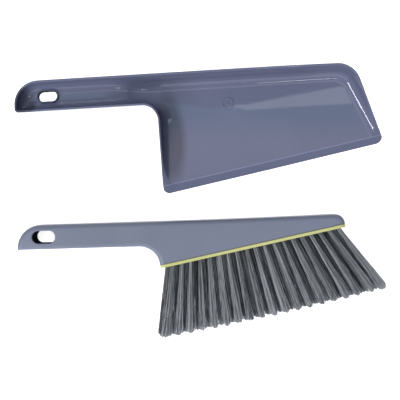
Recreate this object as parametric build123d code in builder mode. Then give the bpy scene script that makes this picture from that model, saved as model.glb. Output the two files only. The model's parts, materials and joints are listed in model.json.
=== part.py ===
"""Dustpan and hand brush. The pan is one moulded shell with a channel handle. The brush is two half
shells round a bristle plate, whose tufts are pulled into leaning holes and held by wire anchors.
The two lie flat, side by side, with the pan's back edge along X."""
import math
import os

from build123d import *

os.makedirs("parts", exist_ok=True)

# Places of the pan's and the brush's tail and back edge, and the brush's turn about Z in degrees
PAN_PLACE = (-179.26, 131.68)
BRUSH_PLACE = (-186.66, -9.62)
BRUSH_TURN = -1.73

# The pan from above, at its rim: x runs from the tail, y from the back edge
RIM_HEIGHT = 28.0
PAN_WALL = 2.2
WALL_DRAFT = 6.0
HANDLE_WIDTH = 30.8
TAIL_RADIUS = 24.0
TAIL_CORNER = 3.4
NECK_X = 139.2
NECK_RADIUS = 14.0
BACK_LENGTH = 336.2
END_CORNER = 27.0
END_WALL_ANGLE = 25.0
NECK_WALL_FLARE = 2.2
LIP_LEFT = -119.2
LIP_ANGLE = 9.88

# The pan's floor steps down from the handle's channel to the tray by a double curve
CHANNEL_UNDERSIDE = 12.8
OGEE_START = 88.0
OGEE_END = 136.0
UNDERSIDE_RADIUS = 5.0
FLOOR_RADIUS = 10.0

# The pan's rim falls from its full height to the thin lip
LIP_EDGE = 0.8
LIP_RAMP = 8.0
LIP_CORNER = 8.0
LIP_CLEAR = 2.0
RIM_START = 12.0
RIM_RUN = 92.0
RIM_BLEND = 60.0
RIM_EDGE = 0.8

# The pan's hanging slot with its collar, and the round mark of the moulding gate
PAN_SLOT = (30.6, -14.4)
PAN_SLOT_LENGTH = 19.0
PAN_SLOT_WIDTH = 10.2
COLLAR_WALL = 1.1
COLLAR_HEIGHT = 3.0
GATE_PLACE = (210.8, -30.0)
GATE_RADIUS = 6.5
GATE_LINE = 1.7
GATE_PROUD = 0.5
GATE_DOT = 2.0
GATE_SIDES = 40.0

# The brush's body from its flat side: x runs from the tail, y from the back edge
BODY_WALL = 2.3
GRIP_WIDTH = 24.5
GRIP_TAIL_RADIUS = 23.0
GRIP_NECK_RADIUS = 20.0
BLOCK_START = 150.0
BLOCK_END_CORNER = 9.0
BACK_LIFT = 2.1
BODY_EDGE = 4.8
GRIP_THICKNESS = 20.0
BLOCK_THICKNESS = 26.0
SWELL_START = 85.0
SWELL_END = 140.0

# The brush's hanging slot, and the pins that locate one shell on the other
GRIP_SLOT = (27.25, -12.1)
GRIP_SLOT_LENGTH = 22.8
GRIP_SLOT_WIDTH = 12.4
SLOT_WALL = 2.0
SLOT_EDGE = 0.8
PIN_PLACES = [(62.0, -11.9), (108.0, -11.9), (165.0, -18.0), (222.0, -10.0), (280.0, -5.6)]
POST_RADIUS = 3.0
PIN_RADIUS = 1.5
PIN_LENGTH = 4.0
PIN_GAP = 0.05

# The bristle plate: a flange over the block's open side, and a core inside the shells
PLATE_START = (141.5, -43.0)
PLATE_LENGTH = 187.9
PLATE_ANGLE = 10.94
FLANGE = 3.2
CORE_DEPTH = 5.6
CORE_GAP = 0.15
CORE_END = 3.8
BEAD_LENGTH = 18.0
BEAD_HEIGHT = 1.2
BEAD_PROUD = 0.45
BEAD_DEPTH = 3.4
BEAD_STATIONS = (0.2, 0.5, 0.8)

# The tufts: columns along the plate that fan out, and three rows across it
TUFT_COLUMNS = 19
TUFT_ROWS = (-1, 0, 1)
FIRST_TUFT = 11.9
TUFT_PITCH = 9.36
ROW_PITCH = 6.8
FIRST_LEAN = -17.5
LAST_LEAN = 24.5
ROW_SPREAD = 1.6
TUFT_REACH = 71.5
END_REACH = 69.5
TUFT_RADIUS = 2.35
TIP_RADIUS = 4.2
HOLE_RADIUS = 2.45
HOLE_DEPTH = 7.4
ANCHOR_LENGTH = 5.2
ANCHOR_WIDTH = 2.0
ANCHOR_THICKNESS = 0.5

# How far forms run on past where they are cut off, and what counts as level, downward or at a height
BEYOND = 450.0
PAN_PAST_LIP = 15.0
SPACE_PAST_LIP = 40.0
SPACE_PAST_JOINT = 20.0
LEVEL = 0.9
DOWNWARD = -0.5
CLOSE = 0.1
SLOT_EDGES = 4
AT_BASE = (Align.CENTER, Align.CENTER, Align.MIN)
AT_TOP = (Align.CENTER, Align.CENTER, Align.MAX)

mid_height = BLOCK_THICKNESS / 2
grip_base = (BLOCK_THICKNESS - GRIP_THICKNESS) / 2
end_slope = math.tan(math.radians(END_WALL_ANGLE))
neck_slope = math.tan(math.radians(NECK_WALL_FLARE))
lip_slope = math.tan(math.radians(LIP_ANGLE))
plate_slope = math.tan(math.radians(PLATE_ANGLE))
base_inset = RIM_HEIGHT * math.tan(math.radians(WALL_DRAFT))


def level(place, height, turn=0.0):
    """A horizontal plane at a height, with its origin at a place and turned about Z."""
    turned = math.radians(turn)
    return Plane(origin=(*place, height), x_dir=(math.cos(turned), math.sin(turned), 0))


def pan_level(height):
    return level(PAN_PLACE, height)


def brush_level(height):
    return level(BRUSH_PLACE, height, BRUSH_TURN)


def upright(plane):
    """The vertical plane through a level plane's x axis, with its own y axis pointing up."""
    return Plane(origin=plane.origin, x_dir=plane.x_dir, z_dir=-plane.y_dir)


def round_corner(outline, corner, radius):
    """Round the corner of a sketch in the making that is nearest to a point."""
    fillet(outline.vertices().sort_by_distance(corner)[0], radius)


def step_line(start, end, high, low):
    """A line that leaves one height level, steps to another by two equal arcs and runs on level."""
    half = (start + end) / 2
    middle = (high + low) / 2
    bend = ((end - start) ** 2 + (high - low) ** 2) / (4 * abs(high - low))
    side = 1 if high > low else -1
    Line((-BEYOND, high), (start, high))
    RadiusArc((start, high), (half, middle), side * bend)
    RadiusArc((half, middle), (end, low), -side * bend)
    Line((end, low), (BEYOND, low))


def outer_edges(faces):
    """The edges round a group of faces, without those where two of the faces join."""
    edges = faces.edges()
    return [edge for edge in edges if sum(edge.is_same(other) for other in edges) == 1]


def lip_corners(past_lip):
    """Where the neck's wall and the end wall reach the lip, or a line parallel to it past it."""
    low = LIP_LEFT - past_lip
    neck_y = (low + HANDLE_WIDTH * neck_slope * lip_slope) / (1 - neck_slope * lip_slope)
    end_y = (low + (BACK_LENGTH - NECK_X) * lip_slope) / (1 + end_slope * lip_slope)
    neck_x = NECK_X + (neck_y + HANDLE_WIDTH) * neck_slope
    return (neck_x, neck_y), (BACK_LENGTH - end_y * end_slope, end_y)


def pan_outline(inset, past_lip):
    """The pan's outline at its rim, drawn past the lip and then moved in on all sides."""
    neck_end, wall_end = lip_corners(past_lip)
    with BuildSketch(pan_level(0)) as outline:
        with BuildLine():
            Polyline(
                (0, 0),
                (0, -HANDLE_WIDTH),
                (NECK_X, -HANDLE_WIDTH),
                neck_end,
                wall_end,
                (BACK_LENGTH, 0),
                close=True,
            )
        make_face()
        round_corner(outline, (0, 0), TAIL_RADIUS)
        round_corner(outline, (NECK_X, -HANDLE_WIDTH), NECK_RADIUS)
        round_corner(outline, (BACK_LENGTH, 0), END_CORNER)
        offset(amount=-inset)
    return outline.sketch


def corner_waste(plane, corner, radius):
    """What rounding the lower left corner of an outline takes away from it."""
    with BuildSketch(plane) as waste:
        with Locations(corner):
            Rectangle(2 * radius, 2 * radius)
        with Locations((corner[0] + radius, corner[1] + radius)):
            Rectangle(2 * radius, 2 * radius, align=(Align.MIN, Align.CENTER), mode=Mode.SUBTRACT)
            Rectangle(2 * radius, 2 * radius, align=(Align.CENTER, Align.MIN), mode=Mode.SUBTRACT)
            Circle(radius, mode=Mode.SUBTRACT)
    return waste.sketch


def pan_form(inset, floor_radius, past_lip):
    """The pan's closed form with leaning walls, or with an inset the space inside its walls."""
    with BuildPart() as form:
        extrude(pan_outline(base_inset + inset, past_lip), amount=RIM_HEIGHT, taper=-WALL_DRAFT)
        with BuildSketch(upright(pan_level(0))):
            with BuildLine():
                step_line(OGEE_START, OGEE_END, CHANNEL_UNDERSIDE + inset, inset)
                Polyline(
                    (BEYOND, inset),
                    (BEYOND, BEYOND),
                    (-BEYOND, BEYOND),
                    (-BEYOND, CHANNEL_UNDERSIDE + inset),
                )
            make_face()
        extrude(amount=BEYOND, both=True, mode=Mode.INTERSECT)
        underside = form.faces().filter_by(lambda face: face.normal_at().Z < DOWNWARD)
        fillet(outer_edges(underside), floor_radius)
    return form.part


def tail_waste(inset, radius):
    """What rounding the tail's lower corner takes away, leaning with the two walls beside it."""
    base = base_inset + inset
    with BuildPart() as waste:
        corner = corner_waste(pan_level(0), (base, base - HANDLE_WIDTH), radius)
        extrude(corner, amount=2 * RIM_HEIGHT, dir=(-base_inset, -base_inset, RIM_HEIGHT))
    return waste.part


pan_outside = pan_form(0, UNDERSIDE_RADIUS, PAN_PAST_LIP) - tail_waste(0, TAIL_CORNER)
pan_inside = pan_form(PAN_WALL, FLOOR_RADIUS, SPACE_PAST_LIP)
pan_inside -= tail_waste(PAN_WALL, TAIL_CORNER - PAN_WALL)

lip_way = math.radians(LIP_ANGLE)
across_lip = Plane(
    origin=pan_level(0).from_local_coords((NECK_X, LIP_LEFT)),
    x_dir=(-math.sin(lip_way), math.cos(lip_way), 0),
    z_dir=(math.cos(lip_way), math.sin(lip_way), 0),
)

with BuildPart() as dustpan:
    add(pan_outside)
    add(pan_inside, mode=Mode.SUBTRACT)

    # raised collar round the hanging slot, which the brush's own slot drops over
    with BuildSketch(pan_level(CHANNEL_UNDERSIDE)):
        with Locations(PAN_SLOT):
            SlotOverall(PAN_SLOT_LENGTH + 2 * COLLAR_WALL, PAN_SLOT_WIDTH + 2 * COLLAR_WALL)
    extrude(amount=PAN_WALL + COLLAR_HEIGHT)
    with BuildSketch(pan_level(0)):
        with Locations(PAN_SLOT):
            SlotOverall(PAN_SLOT_LENGTH, PAN_SLOT_WIDTH)
    extrude(amount=RIM_HEIGHT, mode=Mode.SUBTRACT)

    # ring and dot where the moulding gate was
    with BuildSketch(pan_level(PAN_WALL)):
        with Locations(GATE_PLACE):
            Circle(GATE_RADIUS)
            Circle(GATE_RADIUS - GATE_LINE, mode=Mode.SUBTRACT)
            Circle(GATE_DOT)
    extrude(amount=GATE_PROUD, taper=GATE_SIDES)

    # rim line seen along the lip: ramp, rising side walls, level back
    with BuildSketch(across_lip) as rim_area:
        with BuildLine():
            ramp_rise = LIP_EDGE + (PAN_WALL - LIP_EDGE) / LIP_RAMP * RIM_START
            Polyline((0, LIP_EDGE), (RIM_START, ramp_rise), (RIM_RUN, RIM_HEIGHT), (BEYOND, RIM_HEIGHT))
            Polyline((BEYOND, RIM_HEIGHT), (BEYOND, -1), (0, -1), (0, LIP_EDGE))
        make_face()
        round_corner(rim_area, (RIM_RUN, RIM_HEIGHT), RIM_BLEND)
    extrude(amount=BEYOND, both=True, mode=Mode.INTERSECT)

    # the lip's two corners, rounded from above
    neck_corner, end_corner = lip_corners(0)
    with BuildSketch(pan_level(0)) as lip_area:
        with BuildLine():
            Polyline(
                (neck_corner[0] + base_inset, neck_corner[1]),
                (end_corner[0] - base_inset, end_corner[1]),
                (BACK_LENGTH + LIP_CLEAR, 0),
                (BEYOND, BEYOND),
                (-BEYOND, BEYOND),
                (-BEYOND, -HANDLE_WIDTH * 2),
                (NECK_X - LIP_CLEAR, -HANDLE_WIDTH * 2),
                close=True,
            )
        make_face()
        round_corner(lip_area, (neck_corner[0] + base_inset, neck_corner[1]), LIP_CORNER)
        round_corner(lip_area, (end_corner[0] - base_inset, end_corner[1]), LIP_CORNER)
    extrude(amount=RIM_HEIGHT, mode=Mode.INTERSECT)

    # rounded rim, all round and down the side walls
    rim = dustpan.faces().filter_by(lambda face: face.normal_at().Z > LEVEL)
    rim = rim.filter_by(lambda face: face.center().Z > RIM_HEIGHT - 1)
    level_rim = [edge for edge in outer_edges(rim) if edge.center().Z > RIM_HEIGHT - CLOSE]
    fillet(level_rim, RIM_EDGE)
dustpan.part.label = "dustpan"
export_step(dustpan.part, "parts/dustpan.step")


plate_way = Vector(1, plate_slope).normalized()
out_way = Vector(plate_way.Y, -plate_way.X)


def past_plate(along, out=0.0):
    """The point a distance along the joint of the block and the plate, and out from it."""
    return Vector(*PLATE_START) + plate_way * along + out_way * out


def body_outline(inset, past_joint):
    """The brush body's outline from its flat side, drawn past the joint and then moved in."""
    joint_start = past_plate(0, past_joint)
    joint_end = past_plate(PLATE_LENGTH, past_joint)
    neck = past_plate(0, (GRIP_WIDTH + PLATE_START[1]) / plate_way.X)
    block_end = past_plate(PLATE_LENGTH, (past_plate(PLATE_LENGTH).Y - BACK_LIFT) / plate_way.X)
    with BuildSketch(brush_level(0)) as outline:
        with BuildLine():
            Line((0, 0), (BLOCK_START, 0))
            TangentArc((BLOCK_START, 0), (block_end.X, block_end.Y), tangent=(1, 0))
            Polyline(
                (block_end.X, block_end.Y),
                (joint_end.X, joint_end.Y),
                (joint_start.X, joint_start.Y),
                (neck.X, neck.Y),
                (0, -GRIP_WIDTH),
                (0, 0),
            )
        make_face()
        round_corner(outline, (0, 0), GRIP_TAIL_RADIUS)
        round_corner(outline, (neck.X, neck.Y), GRIP_NECK_RADIUS)
        round_corner(outline, (block_end.X, block_end.Y), BLOCK_END_CORNER)
        if inset:
            offset(amount=-inset)
    return outline.sketch


def body_form(inset, past_joint):
    """The brush body's closed form with rounded edges, or with an inset the space in its walls."""
    with BuildPart() as form:
        extrude(body_outline(inset, past_joint), amount=BLOCK_THICKNESS)
        with BuildSketch(upright(brush_level(0))):
            with BuildLine():
                block_face = BLOCK_THICKNESS - inset
                step_line(SWELL_START, SWELL_END, grip_base + inset, inset)
                Line((BEYOND, inset), (BEYOND, block_face))
                step_line(SWELL_START, SWELL_END, block_face - grip_base, block_face)
                Line((-BEYOND, grip_base + inset), (-BEYOND, block_face - grip_base))
            make_face()
        extrude(amount=BEYOND, both=True, mode=Mode.INTERSECT)
        flats = form.faces().filter_by(lambda face: abs(face.normal_at().Z) > LEVEL)
        joint_face = form.faces().sort_by(lambda face: face.normal_at().dot(joint_normal))[-1]
        joint_edges = joint_face.edges()
        rounded = [
            edge
            for edge in outer_edges(flats)
            if not any(edge.is_same(other) for other in joint_edges)
        ]
        fillet(rounded, BODY_EDGE - inset)
    return form.part


joint_normal = brush_level(0).from_local_coords(out_way) - brush_level(0).origin
body_outside = body_form(0, 0)
body_inside = body_form(BODY_WALL, SPACE_PAST_JOINT)


# the joint's plane: x along the plate, y up, z out towards the tufts' tips
joint = Plane(
    origin=brush_level(mid_height).from_local_coords(PLATE_START),
    x_dir=brush_level(0).from_local_coords(plate_way) - brush_level(0).origin,
    z_dir=joint_normal,
)


def snap_beads(side, gap, mode):
    """Short ridges along one side of the plate's core, or with a gap the pockets they snap into."""
    face = mid_height - BODY_WALL - CORE_GAP
    for station in BEAD_STATIONS:
        with Locations(joint.offset(-BEAD_DEPTH) * Pos(station * PLATE_LENGTH, side * face, 0)):
            Box(BEAD_LENGTH + gap, 2 * BEAD_PROUD + gap, BEAD_HEIGHT + gap, mode=mode)


for shell_name, side in (("brush_front_shell", 1), ("brush_rear_shell", -1)):
    with BuildPart() as shell:
        add(body_outside)
        add(body_inside, mode=Mode.SUBTRACT)

        # wall round the hanging slot, and posts that meet at the mid plane
        with BuildSketch(brush_level(grip_base + BODY_WALL / 2)):
            with Locations(GRIP_SLOT):
                SlotOverall(GRIP_SLOT_LENGTH + 2 * SLOT_WALL, GRIP_SLOT_WIDTH + 2 * SLOT_WALL)
        extrude(amount=GRIP_THICKNESS - BODY_WALL)
        for x, y in PIN_PLACES:
            in_wall = (grip_base if x < SWELL_END else 0) + BODY_WALL / 2
            with Locations(brush_level(in_wall) * Pos(x, y, 0)):
                Cylinder(POST_RADIUS, BLOCK_THICKNESS - 2 * in_wall, align=AT_BASE)
        with BuildSketch(brush_level(0)):
            with Locations(GRIP_SLOT):
                SlotOverall(GRIP_SLOT_LENGTH, GRIP_SLOT_WIDTH)
        extrude(amount=BLOCK_THICKNESS, mode=Mode.SUBTRACT)

        # the half above or below the mid plane, with the slot's mouth rounded
        split(bisect_by=brush_level(mid_height), keep=Keep.TOP if side > 0 else Keep.BOTTOM)
        snap_beads(side, CORE_GAP, Mode.SUBTRACT)
        grip_face = mid_height + side * GRIP_THICKNESS / 2
        mouth = shell.edges().filter_by_position(Axis.Z, grip_face - CLOSE, grip_face + CLOSE)
        mouth_centre = brush_level(grip_face).from_local_coords(GRIP_SLOT)
        fillet(mouth.sort_by_distance(mouth_centre)[:SLOT_EDGES], SLOT_EDGE)

        # pins on the rear shell, sockets in the front one
        for x, y in PIN_PLACES:
            with Locations(brush_level(mid_height) * Pos(x, y, 0)):
                if side < 0:
                    Cylinder(PIN_RADIUS, PIN_LENGTH, align=AT_BASE)
                else:
                    Cylinder(PIN_RADIUS + PIN_GAP, PIN_LENGTH + 1, align=AT_BASE, mode=Mode.SUBTRACT)
    shell.part.label = shell_name
    export_step(shell.part, f"parts/{shell_name}.step")


def tuft_seat(column, row):
    """The plane at a tuft's hole in the plate's face, with z along the tuft, and the tuft's length."""
    share = column / (TUFT_COLUMNS - 1)
    lean = math.radians(FIRST_LEAN + share * (LAST_LEAN - FIRST_LEAN))
    stagger = -TUFT_PITCH / 2 if row == 0 else 0
    face = joint.offset(FLANGE)
    along = FIRST_TUFT + column * TUFT_PITCH + stagger
    way = face.x_dir * math.tan(lean) + face.y_dir * row * ROW_SPREAD / TUFT_REACH + face.z_dir
    reach = TUFT_REACH - (TUFT_REACH - END_REACH) * (2 * share - 1) ** 2
    seat = Plane(
        origin=face.from_local_coords((along, row * ROW_PITCH)),
        x_dir=face.y_dir.cross(way),
        z_dir=way,
    )
    return seat, reach * way.length


tuft_places = [(column, row) for column in range(TUFT_COLUMNS) for row in TUFT_ROWS]

with BuildPart() as bristle_plate:
    with BuildSketch(joint):
        with Locations((PLATE_LENGTH / 2, 0)):
            RectangleRounded(PLATE_LENGTH, BLOCK_THICKNESS, BODY_EDGE)
    extrude(amount=FLANGE)
    core_width = BLOCK_THICKNESS - 2 * (BODY_WALL + CORE_GAP)
    with BuildSketch(joint):
        with Locations((BODY_WALL + CORE_GAP, 0)):
            RectangleRounded(
                PLATE_LENGTH - BODY_WALL - CORE_GAP - CORE_END,
                core_width,
                BODY_EDGE - BODY_WALL,
                align=(Align.MIN, Align.CENTER),
            )
    extrude(amount=-CORE_DEPTH)
    for side in (1, -1):
        snap_beads(side, 0, Mode.ADD)
    for column, row in tuft_places:
        seat, reach = tuft_seat(column, row)
        with Locations(seat.offset(-HOLE_DEPTH)):
            Cylinder(HOLE_RADIUS, 2 * HOLE_DEPTH, align=AT_BASE, mode=Mode.SUBTRACT)
bristle_plate.part.label = "bristle_plate"
export_step(bristle_plate.part, "parts/bristle_plate.step")


def anchor_wire(seat, mode):
    with Locations(seat.offset(-HOLE_DEPTH)):
        Box(ANCHOR_LENGTH, ANCHOR_THICKNESS, ANCHOR_WIDTH, align=AT_BASE, mode=mode)


with BuildPart() as tuft_anchors:
    for column, row in tuft_places:
        anchor_wire(tuft_seat(column, row)[0], Mode.ADD)
tuft_anchors.part.label = "tuft_anchors"
export_step(tuft_anchors.part, "parts/tuft_anchors.step")

for column in range(TUFT_COLUMNS):
    with BuildPart() as tufts:
        for row in TUFT_ROWS:
            seat, reach = tuft_seat(column, row)
            with Locations(seat):
                Cone(TUFT_RADIUS, TIP_RADIUS, reach, align=AT_BASE)
                Cylinder(TUFT_RADIUS, HOLE_DEPTH, align=AT_TOP)
            anchor_wire(seat, Mode.SUBTRACT)
    tufts.part.label = f"bristle_tufts_{column + 1:02d}"
    export_step(tufts.part, f"parts/{tufts.part.label}.step")
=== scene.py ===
"""Dustpan and brush: the plastics' looks, the brush's bristles, and the studio they lie in."""

import json
import math
import random

import bmesh
import bpy
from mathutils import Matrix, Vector


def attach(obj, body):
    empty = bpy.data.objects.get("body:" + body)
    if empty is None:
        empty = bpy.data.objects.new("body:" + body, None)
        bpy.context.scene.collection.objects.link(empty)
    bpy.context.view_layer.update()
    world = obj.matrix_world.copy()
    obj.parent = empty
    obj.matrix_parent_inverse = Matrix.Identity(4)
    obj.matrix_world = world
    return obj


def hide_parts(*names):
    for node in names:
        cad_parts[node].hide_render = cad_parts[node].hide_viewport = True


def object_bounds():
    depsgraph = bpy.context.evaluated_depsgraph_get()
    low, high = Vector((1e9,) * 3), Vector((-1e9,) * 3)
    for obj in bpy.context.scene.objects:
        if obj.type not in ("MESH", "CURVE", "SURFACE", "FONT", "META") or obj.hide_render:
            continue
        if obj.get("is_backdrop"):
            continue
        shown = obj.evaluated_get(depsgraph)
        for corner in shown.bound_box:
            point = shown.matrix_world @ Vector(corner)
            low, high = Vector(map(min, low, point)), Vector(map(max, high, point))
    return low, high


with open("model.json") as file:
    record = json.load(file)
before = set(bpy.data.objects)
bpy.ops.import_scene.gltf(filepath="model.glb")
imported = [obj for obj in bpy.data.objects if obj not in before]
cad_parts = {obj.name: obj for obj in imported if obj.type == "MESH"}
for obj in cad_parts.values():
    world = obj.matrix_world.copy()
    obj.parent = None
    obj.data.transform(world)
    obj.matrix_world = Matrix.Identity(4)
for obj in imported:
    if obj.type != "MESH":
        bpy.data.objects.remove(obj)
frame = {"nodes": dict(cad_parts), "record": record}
cad_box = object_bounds()

MM = 0.001

# The tufts' places, as the CAD model has them: along the plate, across it and out from it.
# Leans are in degrees, and a tuft's reach and spread are in millimetres.
PLATE_CORNER = Vector((-46.52, -56.87, 13.0)) * MM
PLATE_TURN = math.radians(9.21)
PLATE_FLANGE = 3.2 * MM
TUFT_COLUMNS = 19
TUFT_ROWS = (1, 0, -1)
FIRST_TUFT = 11.9 * MM
TUFT_PITCH = 9.36 * MM
ROW_PITCH = 6.8 * MM
FIRST_LEAN = -17.5
LAST_LEAN = 24.5
ROW_SPREAD = 1.6
TUFT_REACH = 71.5
END_REACH = 69.5
TUFT_RADII = {1: 1.8 * MM, 0: 2.35 * MM, -1: 2.35 * MM}
TIP_RADIUS = 4.7 * MM
LOWEST = 0.3 * MM
HIGHEST = 27.2 * MM

# The bristles in a tuft: locks of a few filaments that run together
LOCKS = 34
LOCK_FILAMENTS = 5
FILAMENT_RADIUS = 0.19 * MM
FILAMENT_POINTS = 13
ROOT_DEPTH = 4.0 * MM
FIRST_SEED = 700
# Painted shade by row: the upper row is lightest and the lower rows darker, as light falls among the tufts
ROW_PAINTED_SHADES = {1: 0.70, 0: 0.38, -1: 0.27}

along_way = Vector((math.cos(PLATE_TURN), math.sin(PLATE_TURN), 0))
out_way = Vector((math.sin(PLATE_TURN), -math.cos(PLATE_TURN), 0))
up_way = Vector((0, 0, 1))

BRUSH_TURN = math.radians(-1.73)
mounts = {mount["name"]: Vector(mount["pos_m"]) for mount in frame["record"]["mounts"]}


def slot_ends(mount_name, half_straight, turn=0.0):
    """The centres of a hanging slot's two round ends, in plan."""
    middle = mounts[mount_name] * Vector((1, 1, 0))
    half = Vector((math.cos(turn), math.sin(turn), 0)) * half_straight
    return middle - half, middle + half


# The hanging slots: the centres of the two round ends, the radius, and the mouth's height
BRUSH_SLOT = (*slot_ends("brush_hang_slot", 5.2 * MM, BRUSH_TURN), 6.2 * MM, 23.0 * MM)
PAN_SLOT = (*slot_ends("pan_hang_slot", 4.4 * MM), 5.7 * MM, 20.0 * MM)

# Deep corners of the pan, where little light comes: a centre, reaches along X and Y,
# and the share of the colour that is left at the centre
NECK_HOLLOW = (Vector((-31.0, 68.0, 0)) * MM, Vector((21.0, 56.0, 0)) * MM, 0.5)
HANDLE_HOLLOW = (Vector((-174.0, 107.0, 0)) * MM, Vector((17.0, 26.0, 0)) * MM, 0.45)

# The pan's lip: a point on its line, the way that the line faces, and its ramp's length
LIP_PLACE = Vector((-40.06, 12.48, 0)) * MM
LIP_TURN = math.radians(9.88)
LIP_RAMP = 8.0 * MM

# The gate mark on the tray's floor: its centre, and the shallow sink round it
GATE = Vector((31.54, 101.68, 2.2)) * MM
SINK_RADIUS = 22.0 * MM
SINK_DEPTH = 0.12 * MM


# ---------------------------------------------------------------- materials


def add_node(tree, kind, **settings):
    node = tree.nodes.new(kind)
    for key, value in settings.items():
        setattr(node, key, value)
    return node


def set_inputs(node, **values):
    for key, value in values.items():
        node.inputs[key.replace("_", " ")].default_value = value
    return node


def new_material(name):
    made = bpy.data.materials.new(name)
    made.use_nodes = True
    tree = made.node_tree
    return made, tree, tree.nodes["Principled BSDF"]


def noise(tree, place, scale, detail=2.0, stretch=None):
    """Noise over the object's own coordinates, in repeats a metre, with an optional stretch."""
    source = place.outputs["Object"]
    if stretch:
        mapping = add_node(tree, "ShaderNodeMapping")
        mapping.inputs["Scale"].default_value = stretch
        tree.links.new(source, mapping.inputs["Vector"])
        source = mapping.outputs["Vector"]
    node = set_inputs(add_node(tree, "ShaderNodeTexNoise"), Scale=scale, Detail=detail)
    tree.links.new(source, node.inputs["Vector"])
    return node.outputs["Fac"]


def ramp(tree, factor, stops):
    node = add_node(tree, "ShaderNodeValToRGB")
    elements = node.color_ramp.elements
    while len(elements) < len(stops):
        elements.new(0.5)
    for element, (position, colour) in zip(elements, stops):
        element.position = position
        element.color = (*colour, 1)
    tree.links.new(factor, node.inputs["Fac"])
    return node.outputs["Color"]


def spread(tree, factor, low, high, from_low=0.3, from_high=0.7):
    node = add_node(tree, "ShaderNodeMapRange")
    set_inputs(node, From_Min=from_low, From_Max=from_high, To_Min=low, To_Max=high)
    tree.links.new(factor, node.inputs["Value"])
    return node.outputs["Result"]


def bump(tree, height, depth, under=None):
    node = set_inputs(add_node(tree, "ShaderNodeBump"), Strength=1.0, Distance=depth)
    tree.links.new(height, node.inputs["Height"])
    if under:
        tree.links.new(under, node.inputs["Normal"])
    return node.outputs["Normal"]


def vector_step(tree, operation, source, other):
    """One vector operation between a socket and a constant vector."""
    node = add_node(tree, "ShaderNodeVectorMath", operation=operation)
    node.inputs[1].default_value = other
    tree.links.new(source, node.inputs[0])
    return node


def scaled(tree, colour, share):
    node = add_node(tree, "ShaderNodeVectorMath", operation="SCALE")
    tree.links.new(colour, node.inputs[0])
    tree.links.new(share, node.inputs["Scale"])
    return node.outputs["Vector"]


def eased(tree, factor, kind, from_low, from_high, low, high):
    """A smooth change from low to high while the factor goes between its two ends."""
    node = add_node(tree, "ShaderNodeMapRange", interpolation_type=kind)
    set_inputs(node, From_Min=from_low, From_Max=from_high, To_Min=low, To_Max=high)
    tree.links.new(factor, node.inputs["Value"])
    return node.outputs["Result"]


def slot_shade(tree, place, colour, first, second, radius, mouth):
    """Paint shade on a slot's inner wall: darken a colour there, from a little under its mouth down."""
    flat = vector_step(tree, "MULTIPLY", place.outputs["Object"], (1, 1, 0)).outputs["Vector"]
    reaches = []
    for centre in (first, (first + second) / 2, second):
        reaches.append(vector_step(tree, "DISTANCE", flat, centre).outputs["Value"])
    nearest = reaches[0]
    for reach in reaches[1:]:
        least = add_node(tree, "ShaderNodeMath", operation="MINIMUM")
        tree.links.new(nearest, least.inputs[0])
        tree.links.new(reach, least.inputs[1])
        nearest = least.outputs["Value"]
    near = spread(tree, nearest, 1.0, 0.0, radius + 0.3 * MM, radius + 0.9 * MM)
    height = add_node(tree, "ShaderNodeSeparateXYZ")
    tree.links.new(place.outputs["Object"], height.inputs["Vector"])
    deep = spread(tree, height.outputs["Z"], 1.0, 0.0, mouth - 3.0 * MM, mouth - 0.8 * MM)
    both = add_node(tree, "ShaderNodeMath", operation="MULTIPLY")
    tree.links.new(near, both.inputs[0])
    tree.links.new(deep, both.inputs[1])
    return scaled(tree, colour, spread(tree, both.outputs["Value"], 1.0, 0.08, 0.0, 1.0))


def hollow_shade(tree, place, colour, centre, reach, least):
    """Paint shade softly round a deep corner: darken a colour down to a least share of itself."""
    offset = vector_step(tree, "SUBTRACT", place.outputs["Object"], centre)
    nearness = vector_step(tree, "MULTIPLY", offset.outputs["Vector"], (1 / reach.x, 1 / reach.y, 0))
    share = add_node(tree, "ShaderNodeVectorMath", operation="LENGTH")
    tree.links.new(nearness.outputs["Vector"], share.inputs[0])
    return scaled(tree, colour, eased(tree, share.outputs["Value"], "SMOOTHSTEP", 0.5, 1.0, least, 1.0))


def painted_crest_highlight(tree, place, colour):
    """A painted highlight along the crest where the tray's floor meets the lip's ramp: a thin paler line."""
    inward = Vector((-math.sin(LIP_TURN), math.cos(LIP_TURN), 0))
    reach = vector_step(tree, "DOT_PRODUCT", place.outputs["Object"], inward)
    off_crest = add_node(tree, "ShaderNodeMath", operation="SUBTRACT")
    off_crest.inputs[1].default_value = LIP_PLACE.dot(inward) + LIP_RAMP + 0.4 * MM
    tree.links.new(reach.outputs["Value"], off_crest.inputs[0])
    distance = add_node(tree, "ShaderNodeMath", operation="ABSOLUTE")
    tree.links.new(off_crest.outputs["Value"], distance.inputs[0])
    return scaled(tree, colour, spread(tree, distance.outputs["Value"], 1.5, 1.0, 0.2 * MM, 0.8 * MM))


def seam_shade(tree, place, colour, first, last):
    """Paint shade in the gap at the joint of body and plate: darken a colour between two distances out from
    it.
    """
    out = vector_step(tree, "DOT_PRODUCT", place.outputs["Object"], out_way)
    joint = PLATE_CORNER.dot(out_way)
    return scaled(tree, colour, spread(tree, out.outputs["Value"], 1.0, 0.2, joint + first, joint + last))


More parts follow.
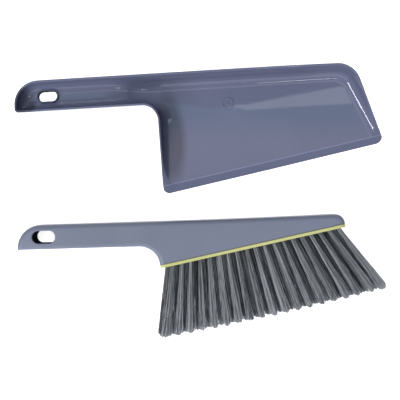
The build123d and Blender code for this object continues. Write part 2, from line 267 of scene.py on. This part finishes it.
def moulded_plastic(name, colours, roughness, grain, waviness=0.0, seam=None, slot=None, is_pan=False):
    """Injection-moulded plastic: faint colour patches, a fine grain and slow waves in its gloss.
    With a seam or a slot it paints shade there, as seam_shade and slot_shade say. The pan's also
    paints shade in its hollows, a highlight on its crest, and has the shallow sink round its gate."""
    made, tree, shader = new_material(name)
    place = add_node(tree, "ShaderNodeTexCoord")
    patches = noise(tree, place, 13.0, 3.0)
    colour = ramp(tree, patches, ((0.3, colours[0]), (0.7, colours[1])))
    if seam:
        colour = seam_shade(tree, place, colour, *seam)
    if slot:
        colour = slot_shade(tree, place, colour, *slot)
    if is_pan:
        colour = hollow_shade(tree, place, colour, *NECK_HOLLOW)
        colour = hollow_shade(tree, place, colour, *HANDLE_HOLLOW)
        colour = painted_crest_highlight(tree, place, colour)
    tree.links.new(colour, shader.inputs["Base Color"])
    dulling = spread(tree, noise(tree, place, 38.0, 4.0), *roughness)
    tree.links.new(dulling, shader.inputs["Roughness"])
    normal = bump(tree, noise(tree, place, 1500.0, 2.0), grain)
    if waviness:
        normal = bump(tree, noise(tree, place, 6.5, 0.0), waviness, normal)
    if is_pan:
        reach = vector_step(tree, "DISTANCE", place.outputs["Object"], GATE)
        sink = eased(tree, reach.outputs["Value"], "SMOOTHERSTEP", 0.0, SINK_RADIUS, 1.0, 0.0)
        normal = bump(tree, sink, SINK_DEPTH, normal)
    tree.links.new(normal, shader.inputs["Normal"])
    set_inputs(shader, IOR=1.5)
    return made


def bristle_fibre():
    """Grey plastic filament: each its own random tone with painted shade by row, paler towards the tip."""
    made, tree, shader = new_material("bristle_grey")
    shade = add_node(tree, "ShaderNodeAttribute", attribute_name="shade")
    tone = ramp(
        tree,
        shade.outputs["Fac"],
        ((0.0, (0.014, 0.017, 0.021)), (0.5, (0.080, 0.090, 0.102)), (1.0, (0.29, 0.305, 0.33))),
    )
    along = add_node(tree, "ShaderNodeAttribute", attribute_name="along")
    paler = add_node(tree, "ShaderNodeMix", data_type="RGBA", blend_type="MULTIPLY")
    paler.inputs["Factor"].default_value = 1.0
    tree.links.new(tone, paler.inputs["A"])
    tree.links.new(
        ramp(tree, along.outputs["Fac"], ((0.0, (0.75, 0.75, 0.76)), (1.0, (1.12, 1.12, 1.14)))),
        paler.inputs["B"],
    )
    tree.links.new(paler.outputs["Result"], shader.inputs["Base Color"])
    place = add_node(tree, "ShaderNodeTexCoord")
    tree.links.new(spread(tree, noise(tree, place, 400.0), 0.34, 0.52), shader.inputs["Roughness"])
    set_inputs(shader, IOR=1.5)
    return made


def drawn_steel():
    """Flat steel wire of the anchors, with fine marks along it."""
    made, tree, shader = new_material("anchor_steel")
    place = add_node(tree, "ShaderNodeTexCoord")
    marks = noise(tree, place, 900.0, 3.0, (1, 1, 6))
    tree.links.new(
        ramp(tree, marks, ((0.3, (0.42, 0.42, 0.43)), (0.7, (0.62, 0.62, 0.63)))),
        shader.inputs["Base Color"],
    )
    tree.links.new(spread(tree, marks, 0.28, 0.42), shader.inputs["Roughness"])
    set_inputs(shader, Metallic=1.0)
    return made


pan_plastic = moulded_plastic(
    "pan_slate_gloss",
    colours=((0.092, 0.101, 0.166), (0.100, 0.110, 0.180)),
    roughness=(0.025, 0.045),
    grain=0.001 * MM,
    waviness=0.6 * MM,
    slot=PAN_SLOT,
    is_pan=True,
)
body_plastic = moulded_plastic(
    "body_slate_satin",
    colours=((0.100, 0.117, 0.170), (0.112, 0.128, 0.187)),
    roughness=(0.36, 0.44),
    grain=0.012 * MM,
    waviness=0.4 * MM,
    seam=(-0.9 * MM, 0.0),
    slot=BRUSH_SLOT,
)
plate_plastic = moulded_plastic(
    "plate_yellow",
    colours=((0.355, 0.36, 0.125), (0.41, 0.415, 0.165)),
    roughness=(0.34, 0.42),
    grain=0.010 * MM,
    seam=(0.9 * MM, 0.0),
)
bristle_grey = bristle_fibre()
anchor_steel = drawn_steel()

node_materials = {
    "dustpan": pan_plastic,
    "brush_front_shell": body_plastic,
    "brush_rear_shell": body_plastic,
    "bristle_plate": plate_plastic,
    "tuft_anchors": anchor_steel,
}
for node_name, made in node_materials.items():
    for material_slot in frame["nodes"][node_name].material_slots:
        material_slot.material = made


# ---------------------------------------------------------------- bristles


def in_disc(chance, radius):
    reach = radius * math.sqrt(chance.random())
    turn = chance.random() * 2 * math.pi
    return reach * math.cos(turn), reach * math.sin(turn)


def tuft_axes(column, row):
    """A tuft's hole in the plate's face, the run from it to the tip's centre, and two side ways."""
    share = column / (TUFT_COLUMNS - 1)
    lean = math.radians(FIRST_LEAN + share * (LAST_LEAN - FIRST_LEAN))
    stagger = -TUFT_PITCH / 2 if row == 0 else 0
    hole = PLATE_CORNER + along_way * (FIRST_TUFT + column * TUFT_PITCH + stagger)
    hole += up_way * row * ROW_PITCH + out_way * PLATE_FLANGE
    reach = TUFT_REACH - (TUFT_REACH - END_REACH) * (2 * share - 1) ** 2
    run = along_way * math.tan(lean) + up_way * row * ROW_SPREAD / TUFT_REACH + out_way
    run *= reach * MM
    side = run.cross(up_way).normalized()
    return hole, run, side, side.cross(run).normalized()


def filament_paths(column, row, chance):
    """Centre lines of a tuft's filaments, each with its random tone and painted row shade, lock by lock."""
    hole, run, side, rise = tuft_axes(column, row)
    backing = run.normalized() * ROOT_DEPTH
    root_radius = TUFT_RADII[row]
    outer_side = {0: -1, TUFT_COLUMNS - 1: 1}.get(column, 0)
    for _ in range(LOCKS):
        root_x, root_y = in_disc(chance, root_radius)
        tip_x = root_x / root_radius * TIP_RADIUS * chance.uniform(0.85, 1.0) + chance.gauss(0, 0.4 * MM)
        tip_y = root_y / root_radius * TIP_RADIUS * chance.uniform(0.7, 0.95) + chance.gauss(0, 0.4 * MM)
        lock_shade = ROW_PAINTED_SHADES[row] + chance.gauss(0, 0.13)
        lock_phase = chance.random() * 2 * math.pi
        lock_waves = chance.uniform(0.8, 2.2)
        lock_sway = chance.uniform(0.15, 0.5) * MM
        lock_length = 1 - 0.05 * (tip_x**2 + tip_y**2) / TIP_RADIUS**2 - abs(chance.gauss(0, 0.008))
        for _ in range(LOCK_FILAMENTS):
            near_x, near_y = in_disc(chance, 0.35 * MM)
            far_x, far_y = in_disc(chance, 0.8 * MM)
            stray = chance.random() < (0.16 if outer_side else 0.05)
            if stray:
                far_x += outer_side * abs(chance.gauss(0, 2.2 * MM)) + chance.gauss(0, 1.2 * MM)
                far_y += chance.gauss(0, 0.8 * MM)
            length = lock_length - abs(chance.gauss(0, 0.02 if stray else 0.009))
            phase = chance.random() * 2 * math.pi
            waves = chance.uniform(2.5, 4.5)
            sway = chance.uniform(0.1, 0.34) * MM
            points = []
            for step in range(FILAMENT_POINTS):
                share = step / (FILAMENT_POINTS - 1)
                ease = share**1.15
                across = (root_x + near_x) * (1 - ease) + (tip_x + far_x) * ease
                across += share * lock_sway * math.sin(lock_phase + lock_waves * share * 2 * math.pi)
                across += share * sway * math.sin(phase + waves * share * 2 * math.pi)
                above = (root_y + near_y) * (1 - ease) + (tip_y + far_y) * ease
                above += share * sway * math.cos(phase + waves * share * 2 * math.pi)
                point = hole - backing + (run * length + backing) * share + side * across + rise * above
                point.z = min(HIGHEST, max(LOWEST, point.z))
                points.append(point)
            shade = min(1, max(0, lock_shade + chance.gauss(0, 0.34)))
            yield points, shade


def bristle_piece(column):
    """One column's three tufts as a mesh of closed filaments."""
    chance = random.Random(FIRST_SEED + column)
    name = f"bristle_column_{column + 1:02d}"
    curve = bpy.data.curves.new(name, "CURVE")
    curve.dimensions = "3D"
    curve.bevel_depth = FILAMENT_RADIUS
    curve.bevel_resolution = 0
    shades = []
    for row in TUFT_ROWS:
        for points, shade in filament_paths(column, row, chance):
            spline = curve.splines.new("POLY")
            spline.points.add(len(points) - 1)
            for place, point in zip(spline.points, points):
                place.co = (*point, 1)
            spline.points[-1].radius = 0.6
            shades.append(shade)
    carrier = bpy.data.objects.new(name + "_lines", curve)
    bpy.context.scene.collection.objects.link(carrier)
    solid = carrier.evaluated_get(bpy.context.evaluated_depsgraph_get())
    mesh = bpy.data.meshes.new_from_object(solid)
    mesh.name = name
    bpy.data.objects.remove(carrier)
    form = bmesh.new()
    form.from_mesh(mesh)
    open_ends = [edge for edge in form.edges if edge.is_boundary]
    bmesh.ops.holes_fill(form, edges=open_ends, sides=4)
    bmesh.ops.recalc_face_normals(form, faces=form.faces)
    form.to_mesh(mesh)
    form.free()
    ring = len(mesh.vertices) // (len(shades) * FILAMENT_POINTS)
    shade_values = []
    along_values = []
    for shade in shades:
        for step in range(FILAMENT_POINTS):
            shade_values += [shade] * ring
            along_values += [step / (FILAMENT_POINTS - 1)] * ring
    for key, values in (("shade", shade_values), ("along", along_values)):
        mesh.attributes.new(key, "FLOAT", "POINT").data.foreach_set("value", values)
    mesh.shade_smooth()
    mesh.materials.clear()
    mesh.materials.append(bristle_grey)
    piece = bpy.data.objects.new(name, mesh)
    bpy.context.scene.collection.objects.link(piece)
    return piece


for column in range(TUFT_COLUMNS):
    piece = bristle_piece(column)
    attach(piece, "brush")
    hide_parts(f"bristle_tufts_{column + 1:02d}")


# ---------------------------------------------------------------- studio


def flat_panel(name, corners):
    """A flat four-cornered stage panel from its corners in metres."""
    form = bmesh.new()
    form.faces.new([form.verts.new(corner) for corner in corners])
    mesh = bpy.data.meshes.new(name)
    form.to_mesh(mesh)
    form.free()
    panel = bpy.data.objects.new(name, mesh)
    bpy.context.scene.collection.objects.link(panel)
    panel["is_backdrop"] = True
    return panel


def glow(name, colour, strength):
    made, tree, shader = new_material(name)
    set_inputs(shader, Base_Color=(0, 0, 0, 1), Roughness=1.0)
    shader.inputs["Emission Color"].default_value = (*colour, 1)
    shader.inputs["Emission Strength"].default_value = strength
    return made


def only_reflected(panel):
    panel.visible_camera = False
    panel.visible_diffuse = False
    panel.visible_shadow = False
    panel.visible_transmission = False
    return panel


CAMERA_PLACE = Vector((-0.00306, 0.00488, 0.560))
CAMERA_TURN = math.radians(-3.45)
view_right = Vector((math.cos(CAMERA_TURN), math.sin(CAMERA_TURN), 0))
view_up = Vector((-math.sin(CAMERA_TURN), math.cos(CAMERA_TURN), 0))

FLOOR_REACH = 6.0
FLOOR_DROP = -0.1 * MM
floor_corners = ((-1, -1), (1, -1), (1, 1), (-1, 1))
floor = flat_panel("floor", [(x * FLOOR_REACH, y * FLOOR_REACH, FLOOR_DROP) for x, y in floor_corners])
floor_white, _, floor_shader = new_material("floor_white")
set_inputs(floor_shader, Base_Color=(0.86, 0.86, 0.86, 1), Roughness=0.9, IOR=1.2)
floor_shader.inputs["Emission Color"].default_value = (1, 1, 1, 1)
floor_shader.inputs["Emission Strength"].default_value = 0.6
floor.data.materials.append(floor_white)

# Black cards on the floor under the hanging slots, seen only in reflections: painted shade that the slots'
# inner walls mirror
CARD_HEIGHT = 0.1 * MM
for card_name, (first, second, radius, _) in (("brush_shade_card", BRUSH_SLOT), ("pan_shade_card", PAN_SLOT)):
    margin = 2 * radius
    left, right = first.x - margin, second.x + margin
    low, high = first.y - margin, first.y + margin
    card_corners = ((left, low), (right, low), (right, high), (left, high))
    card = only_reflected(flat_panel(card_name, [(*corner, CARD_HEIGHT) for corner in card_corners]))
    card_black, _, card_shader = new_material(card_name + "_black")
    set_inputs(card_shader, Base_Color=(0.01, 0.01, 0.012, 1), Roughness=1.0)
    card.data.materials.append(card_black)

CEILING = 0.9


def ceiling_panel(name, low_left, low_right, high_right, high_left, colour, strength):
    """A glowing panel overhead: its corners are across and up from the camera's axis, in metres."""
    corners = []
    for across, up in (low_left, low_right, high_right, high_left):
        place = CAMERA_PLACE + view_right * across + view_up * up
        corners.append((place.x, place.y, CEILING))
    panel = only_reflected(flat_panel(name, corners))
    panel.data.materials.append(glow(name + "_glow", colour, strength))
    return panel


NEAR_TINT = Vector((1.25, 1.2, 1.25))
MIDDLE_TINT = Vector((0.45, 0.84, 0.90))

ceiling_panel("panel_near", (-0.9, 0.0), (0.9, 0.0), (0.9, 0.15), (-0.9, 0.18), NEAR_TINT, 1.0)

# A soft change of tint between the near panel and the middle ones
FADE_STEPS = 5
FADE_WIDTH = 0.012
for step in range(FADE_STEPS):
    low, high = step * FADE_WIDTH, (step + 1) * FADE_WIDTH
    tint = NEAR_TINT.lerp(MIDDLE_TINT, (step + 1) / (FADE_STEPS + 1))
    corners = (-0.9, 0.18 + low), (0.9, 0.15 + low), (0.9, 0.15 + high), (-0.9, 0.18 + high)
    ceiling_panel(f"panel_fade_{step}", *corners, tint, 1.0)
ceiling_panel(
    "panel_middle_left", (-0.9, 0.24), (0.075, 0.224), (0.075, 0.232), (-0.9, 0.40), MIDDLE_TINT, 1.0
)
ceiling_panel(
    "panel_middle_right", (0.075, 0.224), (0.9, 0.21), (0.9, 0.292), (0.075, 0.232), MIDDLE_TINT, 1.0
)
ceiling_panel(
    "panel_wedge", (0.04, 0.228), (0.9, 0.292), (0.9, 0.415), (0.05, 0.234), (0.85, 0.95, 1.0), 2.5
)
ceiling_panel(
    "panel_streak", (0.2, -0.36), (0.42, -0.36), (0.42, -0.28), (0.2, -0.28), (1.0, 0.98, 1.0), 11.0
)


def side_panel(name, centre, size, colour, strength, glossy_only=False):
    """An upright panel that faces the middle of the table."""
    towards = Vector((-centre[0], -centre[1], 0)).normalized()
    across = towards.cross(up_way) * size[0] / 2
    middle = Vector(centre)
    high = up_way * size[1] / 2
    corners = [middle - across - high, middle + across - high, middle + across + high, middle - across + high]
    panel = flat_panel(name, corners)
    panel.visible_camera = False
    panel.visible_shadow = False
    if glossy_only:
        only_reflected(panel)
    panel.data.materials.append(glow(name + "_glow", colour, strength))
    return panel


side_panel("panel_right_dark", (1.3, 0.0, 0.75), (3.2, 1.5), (0.35, 0.75, 0.8), 0.10)
side_panel("panel_left", (-0.965, -0.35, 1.1), (0.6, 0.36), (1, 1, 1), 22.0, glossy_only=True)
side_panel("panel_front", (0.0, -1.4, 0.7), (2.8, 1.3), (1.0, 0.98, 1.0), 1.3)
side_panel("panel_back", (0.0, 1.3, 0.85), (2.6, 0.8), (0.92, 1.0, 1.0), 1.5, glossy_only=True)


def soft_light(name, place, size, power):
    """A rectangular lamp that faces the middle of the table."""
    data = bpy.data.lights.new(name, "AREA")
    data.shape = "RECTANGLE"
    data.size, data.size_y = size
    data.energy = power
    light = bpy.data.objects.new(name, data)
    light.location = place
    light.rotation_euler = (-Vector(place)).to_track_quat("-Z", "Y").to_euler()
    light.visible_camera = False
    light.visible_glossy = False
    bpy.context.scene.collection.objects.link(light)
    return light


soft_light("light_overhead", (-0.1, 0.0, 1.5), (1.5, 1.5), 20.5)
soft_light("light_left", (-1.0, -0.9, 0.8), (0.7, 0.9), 17.0)

world = bpy.data.worlds.new("studio")
bpy.context.scene.world = world
world.use_nodes = True
background = world.node_tree.nodes["Background"]
background.inputs["Color"].default_value = (0.95, 0.97, 1.0, 1)
background.inputs["Strength"].default_value = 0.36

camera_data = bpy.data.cameras.new("camera")
camera_data.lens = 48.93
camera_data.sensor_width = 36.0
camera = bpy.data.objects.new("camera", camera_data)
camera.location = CAMERA_PLACE
camera.rotation_euler = (0, 0, CAMERA_TURN)
bpy.context.scene.collection.objects.link(camera)
bpy.context.scene.camera = camera
bpy.context.scene.view_settings.view_transform = "Standard"

visual_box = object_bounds()
boxes = {"cad": cad_box, "visual": visual_box}
{key: [list(corner) for corner in box] for key, box in boxes.items()}
